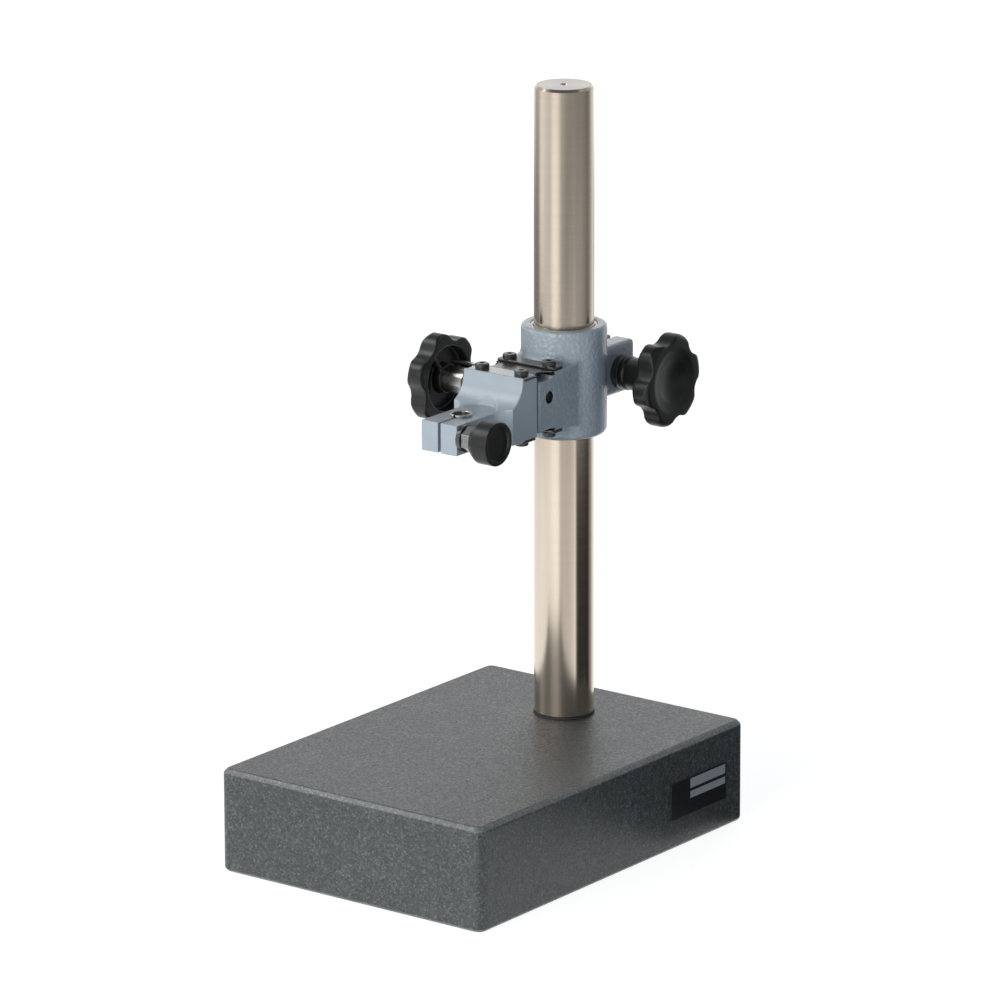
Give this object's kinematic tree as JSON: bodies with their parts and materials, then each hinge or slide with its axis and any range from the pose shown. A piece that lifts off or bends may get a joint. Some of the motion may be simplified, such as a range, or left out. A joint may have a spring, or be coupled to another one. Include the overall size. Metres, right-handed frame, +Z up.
{
  "type": "granite comparator stand",
  "caption": "Granite base with a ground column and a clamped bracket whose spring-guided arm, moved by a fine adjustment knob, holds an indicator by its stem.",
  "frame": {"origin": "middle of the granite base's underside", "axes": "+X to the right, +Y to the back where the column stands, +Z up along the column"},
  "size_m": [0.1504, 0.2122, 0.35],
  "materials": {
    "granite": "fine ground, unpolished",
    "black_plate": "black anodised sheet",
    "ground_steel": "ground and hard chromed",
    "black_rubber": "matt",
    "black_steel": "black oxide",
    "bright_steel": "turned bright",
    "hammered_paint": "blue-grey hammered paint on a casting",
    "smooth_paint": "blue-grey satin paint",
    "spring_steel": "polished strip",
    "bearing_brass": "turned",
    "black_plastic": "moulded, satin"
  },
  "bodies": {
    "stand": {"granite_base": "granite", "side_plate": "black_plate", "column": "ground_steel", "foot_washer": "black_rubber", "column_bolt": "black_steel", "bolt_washer": "bright_steel"},
    "carriage": {"column_liner": "bright_steel"},
    "bracket": {"column_bracket": "hammered_paint", "upper_leaf": "spring_steel", "lower_leaf": "spring_steel", "upper_rear_clamp": "black_steel", "lower_rear_clamp": "black_steel", "upper_rear_screws": "black_steel", "lower_rear_screws": "black_steel", "shaft_bush": "bearing_brass", "stop_pin": "bright_steel", "clamp_washer": "black_steel"},
    "clamp_handle": {"clamp_knob": "black_plastic", "clamp_screw": "bright_steel"},
    "fine_handle": {"fine_knob": "black_plastic", "fine_shaft": "bright_steel", "shaft_clip": "black_steel"},
    "arm": {"indicator_arm": "smooth_paint", "stem_bush": "bright_steel", "upper_front_clamp": "spring_steel", "lower_front_clamp": "black_steel", "upper_front_screws": "black_steel", "lower_front_screws": "black_steel", "stem_washer": "black_steel"},
    "stem_handle": {"stem_knob": "black_plastic", "stem_screw": "bright_steel"}
  },
  "joints": [
    {"name": "height_slide", "type": "slide", "parent": "stand", "child": "carriage", "axis": [0, 0, 1], "range_m": [-0.134, 0.112]},
    {"name": "swivel", "type": "hinge", "parent": "carriage", "child": "bracket", "pos_m": [0, 0.0615, 0.2117], "axis": [0, 0, 1], "continuous": true},
    {"name": "clamp_turn", "type": "hinge", "parent": "bracket", "child": "clamp_handle", "pos_m": [0.02, 0.088, 0.2108], "axis": [1, 0, 0], "range_deg": [0, 360]},
    {"name": "fine_turn", "type": "hinge", "parent": "bracket", "child": "fine_handle", "pos_m": [-0.02, 0.0279, 0.2115], "axis": [1, 0, 0], "range_deg": [-60, 60]},
    {"name": "fine_feed", "type": "slide", "parent": "bracket", "child": "arm", "axis": [0, 0, 1], "range_m": [-0.0005, 0.0005], "deforming": ["upper_leaf", "lower_leaf"]},
    {"name": "stem_turn", "type": "hinge", "parent": "arm", "child": "stem_handle", "pos_m": [0.02, -0.0286, 0.2036], "axis": [1, 0, 0], "range_deg": [0, 360]}
  ],
  "couplings": [
    {"joint": "fine_turn", "follows": "fine_feed", "rad_per_m": 2094}
  ]
}
